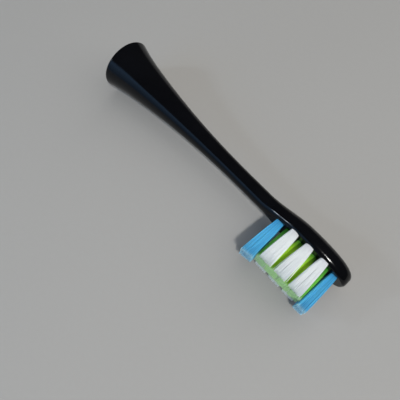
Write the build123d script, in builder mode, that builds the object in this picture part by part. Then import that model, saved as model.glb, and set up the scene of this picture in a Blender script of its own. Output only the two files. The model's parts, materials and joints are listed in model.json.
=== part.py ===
from build123d import *
import os
from collections import namedtuple
from math import atan, copysign, cos, degrees, pi, radians, sin, sqrt, tan

# Electric toothbrush head, in millimetres. Each piece is drawn straight, with +X along the drive axis from
# the socket mouth to the toe, the bristles towards -Y and the plate's width along Z. The whole head is then
# laid down on its side as it comes to rest: on the socket rim, the edge of the plate and the tips of tufts.

# Stem: lengths from the socket mouth to the toe, and diameters along the taper
socket_diameter = 13.6
flare_length = 7.0
flare_diameter = 10.27
taper_length = 44.0
neck_diameter = 4.2
neck_length = 6.5
heel_length = 12.5
toe_length = 13.2
rim_round = 0.4

# Brush plate: depths are measured from the drive axis, powers square off its rounded outlines
plate_width = 11.0
plate_back = 2.85
plate_front = 2.2
front_edge_power = 3.6
toe_plan_power = 2.5
toe_back_power = 3.3
toe_front_power = 6.0
heel_steps = 10
toe_angles = (25, 45, 60, 72, 81, 87)
section_points = 12

# Flat tuft face, cut into the front of the plate behind a short ramp
face_offset = 1.75
face_start = 4.5
ramp_length = 2.0
ramp_angle = 23.0  # degrees
ramp_round = 3.0

# Socket, and the seat of the sleeve in it
mouth_wall = 1.2
mouth_lead = 0.3
seat_depth = 8.0
seat_ledge = 0.6
collar_diameter = 5.8
collar_length = 6.0
tail_diameter = 4.6
tail_length = 6.5
seat_clearance = 0.02
seat_end_gap = 0.2

# Bore of the sleeve: round for the root of the drive shaft, then D-shaped for its flatted tip
shaft_bore = 4.0
shaft_bore_length = 6.5
bore_lead = 0.3
tip_bore = 3.3
tip_flat = 1.2

# Leaf spring that bears on the flat of the shaft through a window in the sleeve
clip_width = 1.8
clip_thickness = 0.2
clip_foot = 0.8
clip_span = 3.6
clip_seat = 1.75
clip_bite = 0.1
clip_clearance = 0.05
clip_seat_gap = 0.01

# Tufts: places along the plate are measured from the middle white row, heights from the tuft face
tuft_shift = 2.1
hole_depth = 2.6
hole_clearance = 0.02
block_lift = 0.08
block_round = 0.8
white_pitch = 4.25
white_spread = 3.75
white_end_spread = 3.6
white_hole = 2.24
white_height = 9.1
white_tip_length = 3.25
white_tip_width = 2.4
white_splay = 0.4
green_pitch = 3.63
green_spread = 1.4
green_hole = 2.0
green_height = 9.2
green_tip_length = 3.5
green_end_tip_length = 2.83
green_end_lean = 0.36
green_tip_width = 2.2
heel_offset = 8.2
heel_spread = 1.65
heel_hole = 2.1
heel_height = 10.55
heel_tip_length = 3.2
heel_tip_width = 2.2
heel_tip_slant = 8.0  # degrees
toe_offset = 7.85
toe_spread = 1.6
toe_hole = 1.84
toe_height = 10.4
toe_tip_length = 2.5
toe_tip_width = 2.0

# Flat metal anchors that hold the folded tufts in their holes
anchor_thickness = 0.3
anchor_height = 1.3
anchor_overhang = 0.15
anchor_floor = 0.5
anchor_clearance = 0.02

# Stations along X
heel_start = taper_length + neck_length
heel_end = heel_start + heel_length
toe_end = heel_end + toe_length
face_begin = heel_start + face_start
collar_end = seat_depth + collar_length
tail_end = collar_end + tail_length
tip_start = seat_depth + shaft_bore_length
clip_middle = (tip_start + tail_end) / 2
tuft_middle = heel_end + tuft_shift

# Radii that meet
neck_radius = neck_diameter / 2
plate_half = plate_width / 2
mouth_radius = socket_diameter / 2 - mouth_wall
collar_seat = collar_diameter / 2 + seat_clearance
tail_seat = tail_diameter / 2 + seat_clearance

# The tuft face looks along -Y: on this plane, x runs along the plate and y across it
tuft_face = Plane(origin=(0, -face_offset, 0), x_dir=(1, 0, 0), z_dir=(0, -1, 0))
anchor_foot = anchor_floor - hole_depth

Tuft = namedtuple(
    "Tuft", "name along across hole height tip_length tip_width slant splay lean", defaults=(0.0, 0.0, 0.0)
)


def grow(start, end, share):
    """Value on a smooth step from start to end"""
    return start + (end - start) * share * share * (3 - 2 * share)


def fade(share, power):
    """Height of a rounded end, from 1 at its start to 0 at its tip"""
    return (1 - share**power) ** (1 / power)


def heel_section(share):
    """Half width, back, front and edge power where the plate widens out of the round neck"""
    half_width = grow(neck_radius, plate_half, share)
    back = grow(neck_radius, plate_back, share)
    front = grow(neck_radius, plate_front, share)
    return half_width, back, front, grow(2, front_edge_power, share)


def toe_section(share):
    """Half width, back, front and edge power where the plate rounds off to the toe"""
    half_width = plate_half * fade(share, toe_plan_power)
    back = plate_back * fade(share, toe_back_power)
    front = plate_front * fade(share, toe_front_power)
    return half_width, back, front, front_edge_power


def section_outline(half_width, back, front, power):
    """Points round a section: an elliptical back, and a front that is flat with rounded edges"""
    points = []
    for step in range(section_points):
        turn = 2 * pi * step / section_points
        rise, reach = cos(turn), sin(turn)
        if step <= section_points / 4 or step >= section_points * 3 / 4:
            points.append((back * rise, half_width * reach))
        else:
            depth = -front * abs(rise) ** (2 / power)
            points.append((depth, copysign(half_width * abs(reach) ** (2 / power), reach)))
    return points


def tuft_list():
    """Every tuft of the plate: blue at the heel and toe, white along the sides, green inside"""
    tufts = []
    for number, side in enumerate((1, -1), 1):
        tufts.append(
            Tuft(f"heel_tuft_{number}", tuft_middle - heel_offset, side * heel_spread, heel_hole, heel_height,
                 heel_tip_length, heel_tip_width, heel_tip_slant)
        )
        tufts.append(
            Tuft(f"toe_tuft_{number}", tuft_middle + toe_offset, side * toe_spread, toe_hole, toe_height,
                 toe_tip_length, toe_tip_width)
        )
    white_places = [(row, side) for side in (1, -1) for row in (-1, 0, 1)]
    for number, (row, side) in enumerate(white_places, 1):
        spread = white_end_spread if row else white_spread
        tufts.append(
            Tuft(f"white_tuft_{number}", tuft_middle + row * white_pitch, side * spread, white_hole,
                 white_height, white_tip_length, white_tip_width, splay=side * white_splay)
        )
    green_places = [(row, side) for side in (1, -1) for row in (-1.5, -0.5, 0.5, 1.5)]
    for number, (row, side) in enumerate(green_places, 1):
        tip_length, lean = green_tip_length, 0.0
        if abs(row) > 1:
            tip_length, lean = green_end_tip_length, -copysign(green_end_lean, row)
        tufts.append(
            Tuft(f"green_tuft_{number}", tuft_middle + row * green_pitch, side * green_spread, green_hole,
                 green_height, tip_length, green_tip_width, lean=lean)
        )
    return tufts


tufts = tuft_list()
pieces = []

# Stem: socket and neck are turned, the plate is lofted on from the round neck to the toe
with BuildPart() as brush_stem:
    with BuildSketch(Plane.XY) as profile:
        with BuildLine():
            neck_end = (taper_length, neck_radius)
            taper = TangentArc(neck_end, (flare_length, flare_diameter / 2), tangent=(-1, 0))
            flare = TangentArc(taper @ 1, (0, socket_diameter / 2), tangent=taper % 1)
            Polyline(flare @ 1, (0, 0), (heel_start, 0), (heel_start, neck_radius), neck_end)
        make_face()
        fillet(profile.vertices().sort_by(Axis.Y)[-1], rim_round)
    revolve(axis=Axis.X)
    with BuildSketch(Plane.YZ.offset(heel_start)):
        Circle(neck_radius)
    stations = [(heel_start + heel_length * step / heel_steps, heel_section(step / heel_steps))
                for step in range(1, heel_steps + 1)]
    stations += [(heel_end + toe_length * sin(radians(angle)), toe_section(sin(radians(angle))))
                 for angle in toe_angles]
    for station, section in stations:
        with BuildSketch(Plane.YZ.offset(station)):
            with BuildLine():
                Spline(*section_outline(*section), periodic=True)
            make_face()
    loft()
    # Flat tuft face behind its ramp
    with BuildSketch(Plane.XY) as face_cut:
        with BuildLine():
            Polyline(
                (face_begin - ramp_length, -face_offset - ramp_length * tan(radians(ramp_angle))),
                (face_begin, -face_offset),
                (toe_end + plate_front, -face_offset),
                (toe_end + plate_front, -2 * plate_front),
                (face_begin - ramp_length, -2 * plate_front),
                close=True,
            )
        make_face()
        fillet(face_cut.vertices().group_by(Axis.Y)[-1].sort_by(Axis.X)[0], ramp_round)
    extrude(amount=plate_width, both=True, mode=Mode.SUBTRACT)
    # Blind tuft holes, each with a pocket for the ends of its anchor
    with BuildSketch(tuft_face.offset(-hole_depth)):
        for tuft in tufts:
            with Locations((tuft.along, tuft.across)):
                Circle(tuft.hole / 2)
    extrude(amount=2 * hole_depth, mode=Mode.SUBTRACT)
    with BuildSketch(tuft_face.offset(anchor_foot - anchor_clearance)):
        for tuft in tufts:
            with Locations((tuft.along, tuft.across)):
                Rectangle(
                    anchor_thickness + 2 * anchor_clearance,
                    tuft.hole + 2 * anchor_overhang + 2 * anchor_clearance,
                )
    extrude(amount=anchor_height + 2 * anchor_clearance, mode=Mode.SUBTRACT)
    # Socket: a tapered mouth, then a stepped seat for the sleeve
    with BuildSketch(Plane.XY):
        with BuildLine():
            Polyline(
                (0, 0),
                (0, mouth_radius + mouth_lead),
                (mouth_lead, mouth_radius),
                (seat_depth, collar_seat + seat_ledge),
                (seat_depth, collar_seat),
                (collar_end, collar_seat),
                (collar_end, tail_seat),
                (tail_end + seat_end_gap, tail_seat),
                (tail_end + seat_end_gap, 0),
                close=True,
            )
        make_face()
    revolve(axis=Axis.X, mode=Mode.SUBTRACT)
brush_stem.part.label = "brush_stem"
pieces.append(brush_stem.part)

# Sleeve: a stepped plug with the shaft's bore and a window for the leaf spring
with BuildPart() as shaft_sleeve:
    with BuildSketch(Plane.XY):
        with BuildLine():
            Polyline(
                (seat_depth, 0),
                (seat_depth, collar_diameter / 2),
                (collar_end, collar_diameter / 2),
                (collar_end, tail_diameter / 2),
                (tail_end, tail_diameter / 2),
                (tail_end, 0),
                close=True,
            )
        make_face()
    revolve(axis=Axis.X)
    with BuildSketch(Plane.YZ.offset(seat_depth)):
        Circle(shaft_bore / 2)
    extrude(amount=shaft_bore_length, mode=Mode.SUBTRACT)
    chamfer(shaft_sleeve.edges().group_by(Axis.X)[0].sort_by(SortBy.LENGTH)[0], bore_lead)
    with BuildSketch(Plane.YZ.offset(tip_start)):
        Circle(tip_bore / 2)
        with Locations((tip_flat, 0)):
            Rectangle(tip_bore, tip_bore, align=(Align.MIN, Align.CENTER), mode=Mode.SUBTRACT)
    extrude(until=Until.LAST, mode=Mode.SUBTRACT)
    window_width = clip_width + 2 * clip_clearance
    with Locations((clip_middle, clip_seat, 0)):
        Box(
            clip_span + 2 * clip_foot + 2 * clip_clearance,
            tail_diameter,
            window_width,
            align=(Align.CENTER, Align.MIN, Align.CENTER),
            mode=Mode.SUBTRACT,
        )
    with Locations((clip_middle, 0, 0)):
        Box(
            clip_span,
            clip_seat,
            window_width,
            align=(Align.CENTER, Align.MIN, Align.CENTER),
            mode=Mode.SUBTRACT,
        )
shaft_sleeve.part.label = "shaft_sleeve"
pieces.append(shaft_sleeve.part)

# Leaf spring: two feet on the sleeve, bowed in between them to bear on the shaft
with BuildPart() as shaft_clip:
    foot_height = clip_seat + clip_seat_gap + clip_thickness / 2
    bow_height = tip_flat - clip_bite + clip_thickness / 2
    with BuildSketch(Plane.XY):
        with BuildLine() as leaf:
            first_foot = Line(
                (clip_middle - clip_span / 2 - clip_foot, foot_height),
                (clip_middle - clip_span / 2, foot_height),
            )
            bow = ThreePointArc(
                first_foot @ 1,
                (clip_middle, bow_height),
                (clip_middle + clip_span / 2, foot_height),
            )
            Line(bow @ 1, (clip_middle + clip_span / 2 + clip_foot, foot_height))
        trace(line_width=clip_thickness)
    extrude(amount=clip_width / 2, both=True)
shaft_clip.part.label = "shaft_clip"
pieces.append(shaft_clip.part)

# Tufts: a round root folded under its anchor, then a block of bristles that flares along the plate
for tuft in tufts:
    with BuildPart() as bundle:
        root_radius = tuft.hole / 2 - hole_clearance
        with BuildSketch(tuft_face.offset(hole_clearance - hole_depth)):
            with Locations((tuft.along, tuft.across)):
                Circle(root_radius)
        extrude(amount=hole_depth - hole_clearance + 2 * block_lift)
        tilt = atan(tuft.splay / tuft.height)
        block_base = (tuft.along, -face_offset - block_lift, tuft.across)
        block_height = tuft.height - block_lift
        tip_rise = tuft.tip_length / 2 * tan(radians(tuft.slant))
        with BuildSketch(Plane(origin=block_base, x_dir=(1, 0, 0), z_dir=(0, sin(tilt), cos(tilt)))):
            with BuildLine():
                Polyline(
                    (-root_radius, 0),
                    (root_radius, 0),
                    (tuft.lean + tuft.tip_length / 2, tip_rise - block_height),
                    (tuft.lean - tuft.tip_length / 2, -tip_rise - block_height),
                    close=True,
                )
            make_face()
        extrude(amount=tuft.tip_width / 2, both=True)
        fillet(bundle.edges().sort_by(SortBy.LENGTH)[-4:], block_round)
        with BuildSketch(tuft_face.offset(anchor_foot - anchor_clearance)):
            with Locations((tuft.along, tuft.across)):
                Rectangle(anchor_thickness + 2 * anchor_clearance, 2 * tuft.hole)
        extrude(amount=anchor_height + 2 * anchor_clearance, mode=Mode.SUBTRACT)
    bundle.part.label = tuft.name
    pieces.append(bundle.part)

# Anchors: one flat strip across each hole, its ends let into the wall
with BuildPart() as tuft_anchors:
    with BuildSketch(tuft_face.offset(anchor_foot)):
        for tuft in tufts:
            with Locations((tuft.along, tuft.across)):
                Rectangle(anchor_thickness, tuft.hole + 2 * anchor_overhang)
    extrude(amount=anchor_height)
tuft_anchors.part.label = "tuft_anchors"
pieces.append(tuft_anchors.part)

# Lay the head down: the floor touches the rounded rim, the widest part of the plate and a white tip
rim_slope = (flare % 1).Y / -(flare % 1).X
rim_rest = socket_diameter / 2 - rim_round * (rim_slope + sqrt(1 + rim_slope**2) - 1)
tip_rest = white_spread + white_splay + white_tip_width / 2
roll = (plate_half - tip_rest) / (face_offset + white_height)
pitch = (rim_rest * sqrt(1 + roll**2) - plate_half) / (tuft_middle - rim_round)
turned = Rot(Y=degrees(atan(pitch / sqrt(1 + roll**2)))) * Rot(X=degrees(atan(roll)))
box = Compound(children=[turned * piece for piece in pieces]).bounding_box()
rest = Pos(-box.center().X, -box.center().Y, -box.min.Z) * turned

os.makedirs("parts", exist_ok=True)
for piece in pieces:
    laid = piece.moved(rest)
    laid.label = piece.label
    export_step(laid, f"parts/{piece.label}.step")
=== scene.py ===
"""Looks of an electric toothbrush head: its bristles, plastics and metals, with floor, light and camera."""

import json
import math

import bpy
from bpy.props import FloatProperty, FloatVectorProperty, IntProperty, PointerProperty
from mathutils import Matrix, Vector


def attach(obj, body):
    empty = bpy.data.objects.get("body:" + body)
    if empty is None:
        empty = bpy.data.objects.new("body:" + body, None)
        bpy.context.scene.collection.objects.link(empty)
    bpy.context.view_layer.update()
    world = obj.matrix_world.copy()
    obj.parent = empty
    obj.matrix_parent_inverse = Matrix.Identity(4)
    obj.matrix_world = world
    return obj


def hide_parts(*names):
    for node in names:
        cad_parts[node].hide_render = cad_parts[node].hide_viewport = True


bl_info = {
    "name": "Toothbrush Head Looks",
    "version": (1, 0, 0),
    "blender": (4, 5, 0),
    "location": "3D View > Sidebar > Brush Head",
    "description": "Bristle tufts, finishes and studio of an electric toothbrush head",
    "category": "Object",
}

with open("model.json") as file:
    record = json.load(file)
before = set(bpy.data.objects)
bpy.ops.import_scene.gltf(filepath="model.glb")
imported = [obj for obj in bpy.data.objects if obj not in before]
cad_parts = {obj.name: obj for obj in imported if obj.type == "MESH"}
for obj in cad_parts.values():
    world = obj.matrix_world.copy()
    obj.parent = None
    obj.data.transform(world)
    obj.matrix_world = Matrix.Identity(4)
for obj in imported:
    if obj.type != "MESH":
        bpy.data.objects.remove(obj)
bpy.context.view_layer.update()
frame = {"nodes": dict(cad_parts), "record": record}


def tint(label, text, default):
    """Colour property in linear red, green and blue"""
    return FloatVectorProperty(
        name=label, description=text, default=default, subtype="COLOR", size=3, min=0.0, max=1.0
    )


def distance(label, text, default):
    """Length property in metres"""
    return FloatProperty(
        name=label, description=text, default=default, unit="LENGTH", subtype="DISTANCE",
        min=0.0, precision=5
    )


def spot(label, text, default):
    """Place property in metres"""
    return FloatVectorProperty(
        name=label, description=text, default=default, unit="LENGTH", subtype="TRANSLATION",
        size=3, precision=5
    )


def angle(label, text, degrees):
    """Angle property up to a full turn, with its default in degrees"""
    return FloatProperty(
        name=label, description=text, default=math.radians(degrees), unit="ROTATION", subtype="ANGLE",
        min=0.0, max=2 * math.pi
    )


def share(label, text, default):
    """Property between 0 and 1"""
    return FloatProperty(name=label, description=text, default=default, subtype="FACTOR", min=0.0, max=1.0)


def power(label, text, default):
    """Power of a light in watts"""
    return FloatProperty(
        name=label, description=text, default=default, unit="POWER", subtype="POWER", min=0.0
    )


class BristleSettings(bpy.types.PropertyGroup):
    """Filaments of the tufts"""

    filament_diameter: distance("Filament Diameter", "Thickness of one nylon filament", 0.0002)
    tip_spacing: distance("Tip Spacing", "From one filament to the next at the tips", 0.00024)
    hole_depth: distance("Hole Depth", "Depth of the tuft holes in the plate", 0.0026)
    filament_reach: distance("Reach in Hole", "How far a filament goes into its hole", 0.00012)
    bow: distance("Bow", "How far the middle of a filament bows to one side", 0.00003)
    wander: distance("Wander", "How far a tip strays from its place in the tuft", 0.00006)
    early_spread: distance("Early Spread", "How far the outer filaments stand out above the plate", 0.0001)
    uneven: share("Uneven Tips", "Share of the length by which tips fall short", 0.012)
    loose_share: share("Loose Share", "Share of the filaments that stand out at the tips", 0.025)
    loose_reach: share("Loose Reach", "How far those stand out, as a share of their place", 0.2)
    root_round: share("Root Round", "Roundness of a bundle at the plate, 0 square and 1 round", 0.5)
    tip_round: share("Tip Round", "Roundness of a bundle at its tips, 0 square and 1 round", 0.12)
    # Root tones are painted shade near the plate; the paler blue and green tip tones are painted light that
    # the translucent nylon carries to the tips
    blue: tint("Blue", "Nylon of the heel and toe tufts", (0.10, 0.50, 0.91))
    blue_root: tint("Blue Root", "Blue nylon in the shade of the plate", (0.05, 0.36, 0.78))
    blue_tip: tint("Blue Tip", "Ends of the blue filaments", (0.36, 0.72, 0.92))
    white: tint("White", "Nylon of the side tufts", (0.89, 0.95, 0.96))
    white_root: tint("White Root", "White nylon in the shade of the plate", (0.80, 0.84, 0.88))
    white_tip: tint("White Tip", "Ends of the white filaments", (0.86, 0.95, 0.90))
    green: tint("Green", "Nylon of the inner tufts", (0.5, 1.0, 0.04))
    # Painted shade: the tufts at the ends of the inner rows take this darker green in place of the shade
    # that the tall blue tufts cast on them
    painted_shade_green: tint("Painted Shade Green", "Nylon of the tufts at the ends of the inner rows", (0.15, 0.53, 0.066))
    green_root: tint("Green Root", "Green nylon in the shade of the plate", (0.03, 0.24, 0.014))
    green_tip: tint("Green Tip", "Ends of the green filaments", (0.58, 0.98, 0.46))
    seed: IntProperty(name="Seed", description="Start of the random numbers", default=7, min=0)


class MouldingSettings(bpy.types.PropertyGroup):
    """Stem and the pieces in its socket"""

    stem_colour: tint("Stem", "Gloss plastic of the stem", (0.0017, 0.0018, 0.0024))
    sleeve_colour: tint("Sleeve", "Hard plastic of the shaft sleeve", (0.62, 0.62, 0.60))
    clip_colour: tint("Clip", "Spring steel of the leaf spring", (0.58, 0.58, 0.60))
    anchor_colour: tint("Anchors", "Brass of the tuft anchors", (0.72, 0.53, 0.24))
    smooth_angle: angle("Smooth Angle", "Edges flatter than this are shaded smooth", 26)
    weld_distance: distance("Weld Distance", "Points nearer than this are joined", 0.0000006)


class StudioSettings(bpy.types.PropertyGroup):
    """Floor, light and camera"""

    floor_colour: tint("Floor", "Plain pale floor", (0.315, 0.309, 0.297))
    floor_size: distance("Floor Size", "Side of the square floor", 4.0)
    floor_gap: distance("Floor Gap", "From the head down to the floor", 0.00002)
    room_colour: tint("Room", "Dim light from all round", (0.05, 0.052, 0.056))
    fill_spot: spot("Fill Place", "Where the wide soft light stands", (0.2, 0.4, 0.62))
    fill_power: power("Fill Power", "Power of the wide soft light", 6.9)
    fill_size: distance("Fill Size", "Width of the wide soft light", 1.4)
    fill_colour: tint("Fill Colour", "Colour of the wide soft light", (1.0, 0.995, 0.985))
    lamp_spot: spot("Lamp Place", "Where the small lamp stands", (0.262, -0.15, 0.545))
    lamp_power: power("Lamp Power", "Power of the small lamp", 2.4)
    lamp_size: distance("Lamp Size", "Width of the small lamp", 0.05)
    lamp_colour: tint("Lamp Colour", "Colour of the small lamp", (1.0, 0.985, 0.96))
    spark_spot: spot("Spark Place", "Where the small low lamp stands", (-0.31, -0.289, 0.265))
    spark_power: power("Spark Power", "Power of the small low lamp", 0.3)
    spark_size: distance("Spark Size", "Width of the small low lamp", 0.05)
    spark_colour: tint("Spark Colour", "Colour of the small low lamp", (0.78, 0.9, 1.0))
    glow_spot: spot("Glow Place", "Where the lowest strip of the side light stands", (-0.16, -0.44, 0.045))
    glow_step: distance("Glow Step", "From one strip of the side light up to the next", 0.095)
    glow_power: power("Glow Power", "Power of all strips of the side light together", 0.62)
    glow_width: distance("Glow Width", "Width of the side light", 0.5)
    glow_height: distance("Glow Height", "Height of one strip of the side light", 0.1)
    glow_colour: tint("Glow Colour", "Colour of the side light", (0.3, 0.58, 1.0))
    view_target: spot("View Target", "Point that the camera looks at", (0.0009, -0.00656, 0.00004))
    view_distance: distance("View Distance", "From the camera to its target", 0.1058)
    view_elevation: angle("View Elevation", "Height of the camera above the floor", 70)
    view_azimuth: angle("View Azimuth", "Turn of the camera round the head", 47.66)
    lens: FloatProperty(
        name="Lens", description="Focal length of the camera", default=38.7, subtype="DISTANCE_CAMERA",
        min=1.0
    )


def wire(tree, node, values):
    """Set or link the inputs of a node"""
    for key, value in values.items():
        if isinstance(value, bpy.types.NodeSocket):
            tree.links.new(value, node.inputs[key])
        else:
            node.inputs[key].default_value = value


def put(tree, kind, values=None, **options):
    """New node with its options and the values or links of its inputs"""
    node = tree.nodes.new(kind)
    for option, value in options.items():
        setattr(node, option, value)
    wire(tree, node, values or {})
    return node


def sums(tree, operation, *terms):
    """Result of one math node"""
    return put(tree, "ShaderNodeMath", dict(enumerate(terms)), operation=operation).outputs[0]


def vectors(tree, operation, *terms):
    """Vector result of one vector math node"""
    keys = (0, 3) if operation == "SCALE" else (0, 1, 2)
    return put(tree, "ShaderNodeVectorMath", dict(zip(keys, terms)), operation=operation).outputs[0]


def ramp(tree, value, start, end, low=0.0, high=1.0):
    """Value carried over from one range to another, and held at its ends"""
    ranges = {"Value": value, "From Min": start, "From Max": end, "To Min": low, "To Max": high}
    return put(tree, "ShaderNodeMapRange", ranges).outputs["Result"]


def blend(tree, factor, first, second, blend_type="MIX"):
    """Mix of two colours"""
    colours = {"Factor": factor, 6: first, 7: second}
    return put(tree, "ShaderNodeMix", colours, data_type="RGBA", blend_type=blend_type).outputs[2]


def chance(tree, seed):
    """Random number from 0 to 1 for each point"""
    return put(tree, "FunctionNodeRandomValue", {"Seed": seed}, data_type="FLOAT").outputs[1]


def store(tree, geometry, name, value):
    """Geometry with a number kept on its points under a name"""
    return put(
        tree, "GeometryNodeStoreNamedAttribute", {"Geometry": geometry, "Name": name, "Value": value},
        data_type="FLOAT", domain="POINT"
    ).outputs["Geometry"]


def recall(tree, name):
    """Number that was kept on the points under a name"""
    node = put(tree, "GeometryNodeInputNamedAttribute", {"Name": name}, data_type="FLOAT")
    return node.outputs["Attribute"]


def group_tree(name, kind, inputs, outputs):
    """Empty node group with named sockets, and its input and output nodes"""
    tree = bpy.data.node_groups.new(name, kind)
    for label, socket, default in inputs:
        item = tree.interface.new_socket(label, in_out="INPUT", socket_type=socket)
        if default is not None:
            item.default_value = default
    for label, socket in outputs:
        tree.interface.new_socket(label, in_out="OUTPUT", socket_type=socket)
    return tree, tree.nodes.new("NodeGroupInput").outputs, tree.nodes.new("NodeGroupOutput").inputs


def filament(tree, given):
    """Mesh of one filament of unit length: straight sided with a slight bow and a rounded tip"""
    rings, sides = 6, 6
    shank_end = 0.8
    dome_height = 0.014
    tip_thickness = 0.45
    line = put(tree, "GeometryNodeCurvePrimitiveLine", {"End": (0, 0, 1)}).outputs["Curve"]
    line = put(tree, "GeometryNodeResampleCurve", {"Curve": line, "Count": rings}).outputs["Curve"]
    factor = put(tree, "GeometryNodeSplineParameter").outputs["Factor"]
    shank = ramp(tree, factor, 0.0, shank_end, high=1.0 - dome_height)
    dome = ramp(tree, factor, shank_end, 1.0, high=dome_height)
    height = sums(tree, "ADD", shank, dome)
    sway = sums(tree, "MULTIPLY", given["Bow"], sums(tree, "SINE", sums(tree, "MULTIPLY", height, math.pi)))
    bowed = put(tree, "ShaderNodeCombineXYZ", {"X": sway, "Z": height}).outputs[0]
    line = store(tree, line, "along", height)
    line = put(tree, "GeometryNodeSetPosition", {"Geometry": line, "Position": bowed}).outputs["Geometry"]
    ring = put(
        tree, "GeometryNodeCurvePrimitiveCircle", {"Resolution": sides, "Radius": given["Filament Radius"]}
    ).outputs["Curve"]
    slim = ramp(tree, factor, shank_end, 1.0, low=1.0, high=tip_thickness)
    return put(
        tree, "GeometryNodeCurveToMesh",
        {"Curve": line, "Profile Curve": ring, "Scale": slim, "Fill Caps": True}
    ).outputs["Mesh"]


def filament_tree():
    """Geometry nodes that fill one tuft with filaments, from its round root to its flared tip"""
    tree, given, result = group_tree(
        "tuft_filaments",
        "GeometryNodeTree",
        [
            ("Columns", "NodeSocketInt", 12),
            ("Rows", "NodeSocketInt", 9),
            ("Filament Radius", "NodeSocketFloat", 0.0001),
            ("Bow", "NodeSocketFloat", 0.0),
            ("Wander", "NodeSocketFloat", 0.0),
            ("Uneven", "NodeSocketFloat", 0.0),
            ("Early Spread", "NodeSocketFloat", 0.0),
            ("Loose Share", "NodeSocketFloat", 0.0),
            ("Loose Reach", "NodeSocketFloat", 0.0),
            ("Root Round", "NodeSocketFloat", 0.5),
            ("Tip Round", "NodeSocketFloat", 0.2),
            ("Root Centre", "NodeSocketVector", None),
            ("Root Along", "NodeSocketVector", None),
            ("Root Across", "NodeSocketVector", None),
            ("Tip Centre", "NodeSocketVector", None),
            ("Tip Along", "NodeSocketVector", None),
            ("Tip Across", "NodeSocketVector", None),
            ("Seed", "NodeSocketInt", 0),
            ("Material", "NodeSocketMaterial", None),
        ],
        [("Geometry", "NodeSocketGeometry")],
    )
    # Places in the bundle: rows of filaments, every second one shifted by half a step
    columns, rows = given["Columns"], given["Rows"]
    half_step = 0.5
    margin = 0.25
    index = put(tree, "GeometryNodeInputIndex").outputs[0]
    row = sums(tree, "FLOOR", sums(tree, "DIVIDE", sums(tree, "ADD", index, half_step), columns))
    column = sums(tree, "SUBTRACT", index, sums(tree, "MULTIPLY", row, columns))
    odd_row = sums(tree, "MODULO", row, 2.0)
    shift = sums(tree, "ADD", margin, sums(tree, "MULTIPLY", odd_row, half_step))
    last_column = sums(tree, "SUBTRACT", columns, margin)
    along = ramp(tree, sums(tree, "ADD", column, shift), margin, last_column, low=-1.0)
    across = ramp(tree, row, 0.0, sums(tree, "SUBTRACT", rows, 1.0), low=-1.0)

    # A few filaments stand out at the tips, along the plate
    loose_seed_gap = 1000
    loose_seed = sums(tree, "ADD", given["Seed"], loose_seed_gap)
    loose = sums(tree, "LESS_THAN", chance(tree, loose_seed), given["Loose Share"])
    reach = sums(tree, "ADD", 1.0, sums(tree, "MULTIPLY", loose, given["Loose Reach"]))
    places = {"Root": along, "Tip": sums(tree, "MULTIPLY", along, reach)}

    def rounded(value, other, roundness):
        """Place along one side of the bundle, drawn in at the corners: a square at 0 and a disc at 1"""
        half = sums(tree, "MULTIPLY", roundness, 0.5)
        corner = sums(tree, "MULTIPLY", sums(tree, "MULTIPLY", other, other), half)
        return sums(tree, "MULTIPLY", value, sums(tree, "SQRT", sums(tree, "SUBTRACT", 1.0, corner)))

    def place(end):
        """Point of the bundle's section at one end"""
        roundness = given[end + " Round"]
        first = vectors(tree, "SCALE", given[end + " Along"], rounded(places[end], across, roundness))
        second = vectors(tree, "SCALE", given[end + " Across"], rounded(across, along, roundness))
        return vectors(tree, "ADD", given[end + " Centre"], vectors(tree, "ADD", first, second))

    # Each filament runs from its root towards its tip, which strays a little and falls short
    root = place("Root")
    stray = put(
        tree, "FunctionNodeRandomValue", {"Min": (-1, -1, -1), "Max": (1, 1, 1), "Seed": given["Seed"]},
        data_type="FLOAT_VECTOR"
    ).outputs["Value"]
    tip = vectors(tree, "ADD", place("Tip"), vectors(tree, "SCALE", stray, given["Wander"]))
    short = sums(tree, "MULTIPLY", chance(tree, sums(tree, "ADD", given["Seed"], 1)), given["Uneven"])
    run = vectors(tree, "SCALE", vectors(tree, "SUBTRACT", tip, root), sums(tree, "SUBTRACT", 1.0, short))
    length = put(tree, "ShaderNodeVectorMath", {0: run}, operation="LENGTH").outputs["Value"]

    # It stands on its root and points along its run, turned about its own axis
    count = sums(tree, "MULTIPLY", columns, rows)
    shade = chance(tree, sums(tree, "ADD", given["Seed"], 2))
    points = put(tree, "GeometryNodePoints", {"Count": count, "Position": root}).outputs[0]
    points = store(tree, points, "tint", shade)
    points = store(tree, points, "spread", along)
    aim = put(tree, "FunctionNodeAlignRotationToVector", {"Vector": run}, axis="Z").outputs[0]
    spin = sums(tree, "MULTIPLY", shade, 2 * math.pi)
    euler = put(tree, "ShaderNodeCombineXYZ", {"Z": spin}).outputs[0]
    own_turn = put(tree, "FunctionNodeEulerToRotation", {"Euler": euler}).outputs[0]
    aim = put(
        tree, "FunctionNodeRotateRotation", {"Rotation": aim, "Rotate By": own_turn}, rotation_space="LOCAL"
    ).outputs[0]
    stretch = put(tree, "ShaderNodeCombineXYZ", {"X": 1.0, "Y": 1.0, "Z": length}).outputs[0]
    bundle = put(
        tree, "GeometryNodeInstanceOnPoints",
        {"Points": points, "Instance": filament(tree, given), "Rotation": aim, "Scale": stretch}
    ).outputs[0]
    bundle = put(tree, "GeometryNodeSetShadeSmooth", {"Geometry": bundle}).outputs[0]
    bundle = put(tree, "GeometryNodeRealizeInstances", {"Geometry": bundle}).outputs[0]

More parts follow.
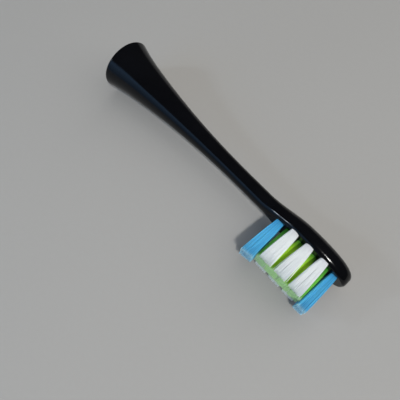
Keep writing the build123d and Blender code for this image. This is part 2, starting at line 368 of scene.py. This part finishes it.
    # The outer filaments fan out early, most at a third of their length, where this curve peaks at 1
    peak_scale = 27 / 4
    rise = recall(tree, "along")
    rest = sums(tree, "SUBTRACT", 1.0, rise)
    rest_square = sums(tree, "MULTIPLY", rest, rest)
    fan = sums(tree, "MULTIPLY", sums(tree, "MULTIPLY", rise, peak_scale), rest_square)
    outward = sums(tree, "MULTIPLY", fan, recall(tree, "spread"))
    push = sums(tree, "MULTIPLY", outward, given["Early Spread"])
    sideways = vectors(tree, "SCALE", vectors(tree, "NORMALIZE", given["Root Along"]), push)
    bundle = put(tree, "GeometryNodeSetPosition", {"Geometry": bundle, "Offset": sideways}).outputs[0]
    bundle = put(
        tree, "GeometryNodeSetMaterial", {"Geometry": bundle, "Material": given["Material"]}
    ).outputs[0]
    tree.links.new(bundle, result["Geometry"])
    return tree


def read_tuft(node, hole_depth, reach):
    """Root and tip of a tuft, read from its solid: centres, and half sizes along and across the plate"""
    flat_cosine = 0.97
    root_zone = 0.0002
    tip_share = 0.2
    mesh = frame["nodes"][node].data
    points = [vertex.co.copy() for vertex in mesh.vertices]
    plate_side = max(point.y for point in points)
    tip_side = min(point.y for point in points)
    tip_zone = tip_side + tip_share * (plate_side - tip_side)
    root, tip, tip_normal = [], [], Vector()
    for face in mesh.polygons:
        corners = [points[index] for index in face.vertices]
        if face.normal.y > flat_cosine and face.center.y > plate_side - root_zone:
            root += corners
        if face.normal.y < -flat_cosine and face.center.y < tip_zone:
            tip += corners
            tip_normal += face.normal * face.area
    if not root or not tip:
        raise RuntimeError(f"{node} has no flat root or tip to read")
    head_axis = -Vector(frame["record"]["mounts"][0]["axis"])

    def middle(corners, *directions):
        """Centre of the corners' extent along each of three directions"""
        centre = Vector()
        for direction in directions:
            spans = [corner.dot(direction) for corner in corners]
            centre += direction * (min(spans) + max(spans)) / 2
        return centre

    depth = Vector((0, -1, 0))
    depth = (depth - head_axis * depth.dot(head_axis)).normalized()
    width = head_axis.cross(depth)
    root_centre = middle(root, head_axis, depth, width)
    tip_centre = middle(tip, head_axis, depth, width)
    axis = (tip_centre - root_centre).normalized()
    along = (head_axis - axis * head_axis.dot(axis)).normalized()
    across = axis.cross(along)
    tip_normal.normalize()
    slope = tip_normal.dot(along) / tip_normal.dot(axis)
    return {
        "root": root_centre + axis * (hole_depth - reach),
        "tip": tip_centre,
        "root_radius": max((corner - root_centre).length for corner in root),
        "half_along": max(abs((corner - tip_centre).dot(along)) for corner in tip),
        "half_across": max(abs((corner - tip_centre).dot(across)) for corner in tip),
        "along": along,
        "across": across,
        "tip_along": along - axis * slope,
    }


def grow_tuft(node, material, settings, tree, seed):
    """Bundle of filaments in place of a tuft's solid"""
    name = node.replace("tuft", "bristles")
    shape = read_tuft(node, settings.hole_depth, settings.filament_reach)
    radius = settings.filament_diameter / 2
    root_reach = shape["root_radius"] - radius
    piece = bpy.data.objects.new(name, bpy.data.meshes.new(name))
    bpy.context.scene.collection.objects.link(piece)
    growth = piece.modifiers.new("filaments", "NODES")
    growth.node_group = tree
    values = {
        "Columns": round(2 * shape["half_along"] / settings.tip_spacing),
        "Rows": round(2 * shape["half_across"] / settings.tip_spacing),
        "Filament Radius": radius,
        "Bow": settings.bow,
        "Wander": settings.wander,
        "Uneven": settings.uneven,
        "Early Spread": settings.early_spread,
        "Loose Share": settings.loose_share,
        "Loose Reach": settings.loose_reach,
        "Root Round": settings.root_round,
        "Tip Round": settings.tip_round,
        "Root Centre": shape["root"],
        "Root Along": shape["along"] * root_reach,
        "Root Across": shape["across"] * root_reach,
        "Tip Centre": shape["tip"],
        "Tip Along": shape["tip_along"] * (shape["half_along"] - radius / 2),
        "Tip Across": shape["across"] * (shape["half_across"] - radius),
        "Seed": seed,
        "Material": material,
    }
    for item in tree.interface.items_tree:
        if item.in_out == "INPUT":
            growth[item.identifier] = values[item.name]
    bpy.context.view_layer.update()
    grown = piece.evaluated_get(bpy.context.evaluated_depsgraph_get())
    mesh = bpy.data.meshes.new_from_object(grown)
    piece.modifiers.clear()
    piece.data = mesh
    mesh.name = name
    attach(piece, "root")
    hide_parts(node)


def grow_tufts(starts, material, settings):
    """Every tuft whose node's name has one of the starts, each with its own random numbers"""
    # A tuft draws with three seeds in a row, and with one far from them for its loose filaments
    seed_step = 3
    tree = bpy.data.node_groups.get("tuft_filaments") or filament_tree()
    nodes = sorted(node for node in frame["nodes"] if node.startswith(tuple(starts)))
    if not nodes:
        raise RuntimeError(f"no tuft starts with {starts}")
    for number, node in enumerate(nodes):
        grow_tuft(node, material, settings, tree, settings.seed + seed_step * number)


def mottle_group():
    """Shader group: slow and fine unevenness of a surface, as a shade, a roughness and a height"""
    found = bpy.data.node_groups.get("surface_mottle")
    if found:
        return found
    tree, given, result = group_tree(
        "surface_mottle",
        "ShaderNodeTree",
        [
            ("Dark", "NodeSocketColor", (0.1, 0.1, 0.1, 1.0)),
            ("Light", "NodeSocketColor", (0.2, 0.2, 0.2, 1.0)),
            ("Patch Scale", "NodeSocketFloat", 200.0),
            ("Grain Scale", "NodeSocketFloat", 2000.0),
            ("Least Roughness", "NodeSocketFloat", 0.2),
            ("Most Roughness", "NodeSocketFloat", 0.4),
            ("Stretch", "NodeSocketVector", (1.0, 1.0, 1.0)),
        ],
        [("Colour", "NodeSocketColor"), ("Roughness", "NodeSocketFloat"), ("Height", "NodeSocketFloat")],
    )
    point = put(tree, "ShaderNodeTexCoord").outputs["Object"]
    point = vectors(tree, "MULTIPLY", point, given["Stretch"])

    def noise(scale, detail):
        """Cloudy pattern around 0.5"""
        values = {"Vector": point, "Scale": scale, "Detail": detail}
        return put(tree, "ShaderNodeTexNoise", values).outputs["Fac"]

    # The part of the noise that is stretched from dark to light and from least to most roughness
    low, high = 0.3, 0.7
    patch_weight, grain_weight = 0.6, 0.4
    patches = noise(given["Patch Scale"], detail=3.0)
    grain = noise(given["Grain Scale"], detail=2.0)
    coarse = sums(tree, "MULTIPLY", patches, patch_weight)
    both = sums(tree, "ADD", coarse, sums(tree, "MULTIPLY", grain, grain_weight))
    colour = blend(tree, ramp(tree, both, low, high), given["Dark"], given["Light"])
    rough = ramp(tree, patches, low, high, given["Least Roughness"], given["Most Roughness"])
    tree.links.new(colour, result["Colour"])
    tree.links.new(rough, result["Roughness"])
    tree.links.new(grain, result["Height"])
    return tree


def filament_group():
    """Shader group: colour along a filament, from a darker root, which is painted shade of the plate,
    through a body tone to a paler end, which is painted light carried through the translucent nylon to the
    tips
    """
    found = bpy.data.node_groups.get("filament_tone")
    if found:
        return found
    tree, given, result = group_tree(
        "filament_tone",
        "ShaderNodeTree",
        [
            ("Root", "NodeSocketColor", (0.3, 0.3, 0.3, 1.0)),
            ("Body", "NodeSocketColor", (0.5, 0.5, 0.5, 1.0)),
            ("End", "NodeSocketColor", (0.8, 0.8, 0.8, 1.0)),
            ("Root End", "NodeSocketFloat", 0.5),
            ("End Start", "NodeSocketFloat", 0.9),
            ("Variation", "NodeSocketFloat", 0.12),
        ],
        [("Colour", "NodeSocketColor"), ("Roughness", "NodeSocketFloat")],
    )
    least_rough, most_rough = 0.34, 0.5
    along = put(tree, "ShaderNodeAttribute", attribute_name="along").outputs["Fac"]
    shade = put(tree, "ShaderNodeAttribute", attribute_name="tint").outputs["Fac"]
    # Painted shade at the root and painted light at the end, blended over the body tone
    shank = blend(tree, ramp(tree, along, 0.0, given["Root End"]), given["Root"], given["Body"])
    colour = blend(tree, ramp(tree, along, given["End Start"], 1.0), shank, given["End"])
    dim = sums(tree, "SUBTRACT", 1.0, sums(tree, "MULTIPLY", shade, given["Variation"]))
    toned = blend(tree, 1.0, colour, dim, blend_type="MULTIPLY")
    tree.links.new(toned, result["Colour"])
    tree.links.new(ramp(tree, shade, 0.0, 1.0, least_rough, most_rough), result["Roughness"])
    return tree


def new_finish(name):
    """Material with a plain shader, and its tree and shader node"""
    material = bpy.data.materials.new(name)
    material.use_nodes = True
    return material, material.node_tree, material.node_tree.nodes["Principled BSDF"]


def nylon(name, root, body, end, root_end, end_start, variation):
    """Satin nylon of one colour of filament, with the tones of its root, its body and its end; the root
    tone is painted shade and a paler end tone painted light
    """
    material, tree, shader = new_finish(name)
    tones = {"Root": (*root, 1.0), "Body": (*body, 1.0), "End": (*end, 1.0)}
    stretches = {"Root End": root_end, "End Start": end_start, "Variation": variation}
    tone = put(tree, "ShaderNodeGroup", tones | stretches, node_tree=filament_group())
    wire(tree, shader, {
        "Base Color": tone.outputs["Colour"],
        "Roughness": tone.outputs["Roughness"],
        "IOR": 1.53,
        "Specular IOR Level": 0.35,
        "Subsurface Weight": 0.6,
        "Subsurface Radius": (1.0, 1.0, 1.0),
        "Subsurface Scale": 0.0006,
    })
    material.diffuse_color = (*body, 1.0)
    return material


def moulded(
    name, colour, lift, patch, grain, rough, bump, stretch=(1.0, 1.0, 1.0), metallic=0.0, specular=0.5
):
    """Plastic or metal with slight mottling, a roughness that varies and a fine relief"""
    relief_height = 0.00002
    material, tree, shader = new_finish(name)
    surface = put(
        tree, "ShaderNodeGroup",
        {
            "Dark": (*colour, 1.0),
            "Light": (*(min(1.0, part * lift) for part in colour), 1.0),
            "Patch Scale": patch,
            "Grain Scale": grain,
            "Least Roughness": rough[0],
            "Most Roughness": rough[1],
            "Stretch": stretch,
        },
        node_tree=mottle_group()
    )
    relief = put(
        tree, "ShaderNodeBump",
        {"Height": surface.outputs["Height"], "Strength": bump, "Distance": relief_height}
    )
    wire(tree, shader, {
        "Base Color": surface.outputs["Colour"],
        "Roughness": surface.outputs["Roughness"],
        "Normal": relief.outputs["Normal"],
        "Metallic": metallic,
        "Specular IOR Level": specular,
    })
    material.diffuse_color = (*colour, 1.0)
    return material


def dress(node, material):
    """Finish on a solid that is shown as it is"""
    mesh = frame["nodes"][node].data
    mesh.materials.clear()
    mesh.materials.append(material)


class BRUSHHEAD_OT_stem(bpy.types.Operator):
    """Make the moulded stem: a welded, smooth shaded copy of its solid in gloss black plastic"""

    bl_idname = "brushhead.stem"
    bl_label = "Stem"

    def execute(self, context):
        settings = context.scene.brush_moulding
        solid = frame["nodes"]["brush_stem"].data
        corners = [vertex.co for vertex in solid.vertices]
        mesh = bpy.data.meshes.new("moulded_stem")
        mesh.from_pydata(corners, [], [tuple(face.vertices) for face in solid.polygons])
        stem = bpy.data.objects.new("moulded_stem", mesh)
        context.scene.collection.objects.link(stem)
        weld = stem.modifiers.new("weld", "WELD")
        weld.merge_threshold = settings.weld_distance
        context.view_layer.update()
        welded = bpy.data.meshes.new_from_object(stem.evaluated_get(context.evaluated_depsgraph_get()))
        stem.modifiers.clear()
        stem.data = welded
        welded.name = "moulded_stem"
        welded.shade_smooth()
        welded.set_sharp_from_angle(angle=settings.smooth_angle)
        welded.materials.append(moulded(
            "gloss_black_plastic", settings.stem_colour, lift=1.7, patch=160.0, grain=2600.0,
            rough=(0.09, 0.15), bump=0.03, specular=0.2
        ))
        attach(stem, "root")
        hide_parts("brush_stem")
        return {"FINISHED"}


class BRUSHHEAD_OT_socket(bpy.types.Operator):
    """Finish the pieces in the socket: the shaft sleeve and its leaf spring"""

    bl_idname = "brushhead.socket"
    bl_label = "Socket Pieces"

    def execute(self, context):
        settings = context.scene.brush_moulding
        dress("shaft_sleeve", moulded(
            "sleeve_plastic", settings.sleeve_colour, lift=1.08, patch=300.0, grain=3000.0,
            rough=(0.38, 0.5), bump=0.1
        ))
        dress("shaft_clip", moulded(
            "spring_steel", settings.clip_colour, lift=1.15, patch=900.0, grain=6000.0,
            rough=(0.22, 0.36), bump=0.15, stretch=(0.1, 1.0, 1.0), metallic=1.0
        ))
        return {"FINISHED"}


class BRUSHHEAD_OT_anchors(bpy.types.Operator):
    """Finish the flat anchors that hold the tufts in their holes"""

    bl_idname = "brushhead.anchors"
    bl_label = "Tuft Anchors"

    def execute(self, context):
        settings = context.scene.brush_moulding
        dress("tuft_anchors", moulded(
            "rolled_brass", settings.anchor_colour, lift=1.12, patch=900.0, grain=7000.0,
            rough=(0.28, 0.42), bump=0.15, stretch=(1.0, 0.1, 1.0), metallic=1.0
        ))
        return {"FINISHED"}


class BRUSHHEAD_OT_blue_bristles(bpy.types.Operator):
    """Grow the blue tufts at the heel and the toe of the plate"""

    bl_idname = "brushhead.blue_bristles"
    bl_label = "Blue Bristles"

    def execute(self, context):
        settings = context.scene.brush_bristles
        material = nylon(
            "blue_nylon", settings.blue_root, settings.blue, settings.blue_tip,
            root_end=0.4, end_start=0.93, variation=0.26
        )
        grow_tufts(["heel_tuft", "toe_tuft"], material, settings)
        return {"FINISHED"}


class BRUSHHEAD_OT_white_bristles(bpy.types.Operator):
    """Grow the white tufts along both sides of the plate"""

    bl_idname = "brushhead.white_bristles"
    bl_label = "White Bristles"

    def execute(self, context):
        settings = context.scene.brush_bristles
        material = nylon(
            "white_nylon", settings.white_root, settings.white, settings.white_tip,
            root_end=0.3, end_start=0.95, variation=0.05
        )
        grow_tufts(["white_tuft"], material, settings)
        return {"FINISHED"}


class BRUSHHEAD_OT_green_bristles(bpy.types.Operator):
    """Grow the two inner rows of green tufts, with a darker green painted at the ends of the rows as the
    shade of the tall blue tufts beside them
    """

    bl_idname = "brushhead.green_bristles"
    bl_label = "Green Bristles"

    def execute(self, context):
        settings = context.scene.brush_bristles
        # The end tufts get the darker green, which is painted shade
        middle_tufts, end_tufts = (2, 3, 6, 7), (1, 4, 5, 8)
        for name, body, numbers in (
            ("green_nylon", settings.green, middle_tufts),
            ("deep_green_nylon", settings.painted_shade_green, end_tufts),
        ):
            material = nylon(
                name, settings.green_root, body, settings.green_tip,
                root_end=0.36, end_start=0.9, variation=0.1
            )
            grow_tufts([f"green_tuft_{number}" for number in numbers], material, settings)
        return {"FINISHED"}


class BRUSHHEAD_OT_studio(bpy.types.Operator):
    """Set the plain floor, the soft light and the camera"""

    bl_idname = "brushhead.studio"
    bl_label = "Studio"

    # Parts of the side light's power, from its lowest strip up: it fades towards the floor
    glow_shares = (0.14, 0.22, 0.3, 0.34)

    def execute(self, context):
        scene = context.scene
        scene.view_settings.view_transform = "Standard"
        self.lay_floor(scene, scene.brush_studio)
        self.hang_lights(scene, scene.brush_studio)
        self.aim_camera(scene, scene.brush_studio)
        return {"FINISHED"}

    def lay_floor(self, scene, settings):
        """Square floor just under the head"""
        half, low = settings.floor_size / 2, -settings.floor_gap
        mesh = bpy.data.meshes.new("floor")
        corners = [(-half, -half, low), (half, -half, low), (half, half, low), (-half, half, low)]
        mesh.from_pydata(corners, [], [(0, 1, 2, 3)])
        mesh.materials.append(moulded(
            "pale_floor", settings.floor_colour, lift=1.03, patch=20.0, grain=900.0,
            rough=(0.75, 0.85), bump=0.02
        ))
        floor = bpy.data.objects.new("floor", mesh)
        scene.collection.objects.link(floor)

    def hang_lights(self, scene, settings):
        """Dim room, a wide soft light overhead, a bluish side light in strips and two small lamps"""
        world = bpy.data.worlds.new("studio")
        world.use_nodes = True
        world.node_tree.nodes["Background"].inputs["Color"].default_value = (*settings.room_colour, 1.0)
        scene.world = world
        fill = self.square_light(scene, settings, "fill")
        fill.visible_glossy = False
        strip = (settings.glow_width, settings.glow_height)
        for step, part in enumerate(self.glow_shares):
            place = Vector(settings.glow_spot) + Vector((0, 0, step * settings.glow_step))
            watts = part * settings.glow_power
            self.light(scene, f"glow_{step + 1}", place, watts, strip, settings.glow_colour)
        self.square_light(scene, settings, "lamp")
        self.square_light(scene, settings, "spark")

    def square_light(self, scene, settings, name):
        """Light with the place, power, size and colour that the settings hold under its name"""
        place, watts, side, colour = (
            getattr(settings, f"{name}_{key}") for key in ("spot", "power", "size", "colour")
        )
        return self.light(scene, name, place, watts, (side, side), colour)

    def light(self, scene, name, place, watts, size, colour):
        """Rectangular light at a place, turned to the head"""
        data = bpy.data.lights.new(name, "AREA")
        data.shape = "RECTANGLE"
        data.energy = watts
        data.size, data.size_y = size
        data.color = colour
        light = bpy.data.objects.new(name, data)
        light.location = place
        light.rotation_euler = Vector(place).to_track_quat("Z", "Y").to_euler()
        scene.collection.objects.link(light)
        return light

    def aim_camera(self, scene, settings):
        """Camera on the view of the photograph"""
        flat = math.cos(settings.view_elevation)
        back = Vector((
            flat * math.sin(settings.view_azimuth),
            -flat * math.cos(settings.view_azimuth),
            math.sin(settings.view_elevation),
        ))
        data = bpy.data.cameras.new("camera")
        data.lens = settings.lens
        data.sensor_width = 36.0
        data.clip_start = 0.005
        camera = bpy.data.objects.new("camera", data)
        camera.location = Vector(settings.view_target) + back * settings.view_distance
        camera.rotation_euler = back.to_track_quat("Z", "Y").to_euler()
        scene.collection.objects.link(camera)
        scene.camera = camera


class BRUSHHEAD_PT_panel(bpy.types.Panel):
    """Pieces and settings of the brush head"""

    bl_idname = "BRUSHHEAD_PT_panel"
    bl_label = "Brush Head"
    bl_space_type = "VIEW_3D"
    bl_region_type = "UI"
    bl_category = "Brush Head"

    def draw(self, context):
        layout = self.layout
        for operator in operators:
            layout.operator(operator.bl_idname)
        for group in ("brush_bristles", "brush_moulding", "brush_studio"):
            settings = getattr(context.scene, group)
            box = layout.box()
            for key in settings.__annotations__:
                box.prop(settings, key)


operators = (
    BRUSHHEAD_OT_stem,
    BRUSHHEAD_OT_socket,
    BRUSHHEAD_OT_anchors,
    BRUSHHEAD_OT_blue_bristles,
    BRUSHHEAD_OT_white_bristles,
    BRUSHHEAD_OT_green_bristles,
    BRUSHHEAD_OT_studio,
)
classes = (BristleSettings, MouldingSettings, StudioSettings, *operators, BRUSHHEAD_PT_panel)


def register():
    for entry in classes:
        bpy.utils.register_class(entry)
    bpy.types.Scene.brush_bristles = PointerProperty(type=BristleSettings)
    bpy.types.Scene.brush_moulding = PointerProperty(type=MouldingSettings)
    bpy.types.Scene.brush_studio = PointerProperty(type=StudioSettings)


def unregister():
    del bpy.types.Scene.brush_studio
    del bpy.types.Scene.brush_moulding
    del bpy.types.Scene.brush_bristles
    for entry in reversed(classes):
        bpy.utils.unregister_class(entry)


def main():
    register()
    bpy.ops.brushhead.stem()
    bpy.ops.brushhead.socket()
    bpy.ops.brushhead.anchors()
    bpy.ops.brushhead.blue_bristles()
    bpy.ops.brushhead.white_bristles()
    bpy.ops.brushhead.green_bristles()
    bpy.ops.brushhead.studio()


if __name__ == "__main__":
    main()
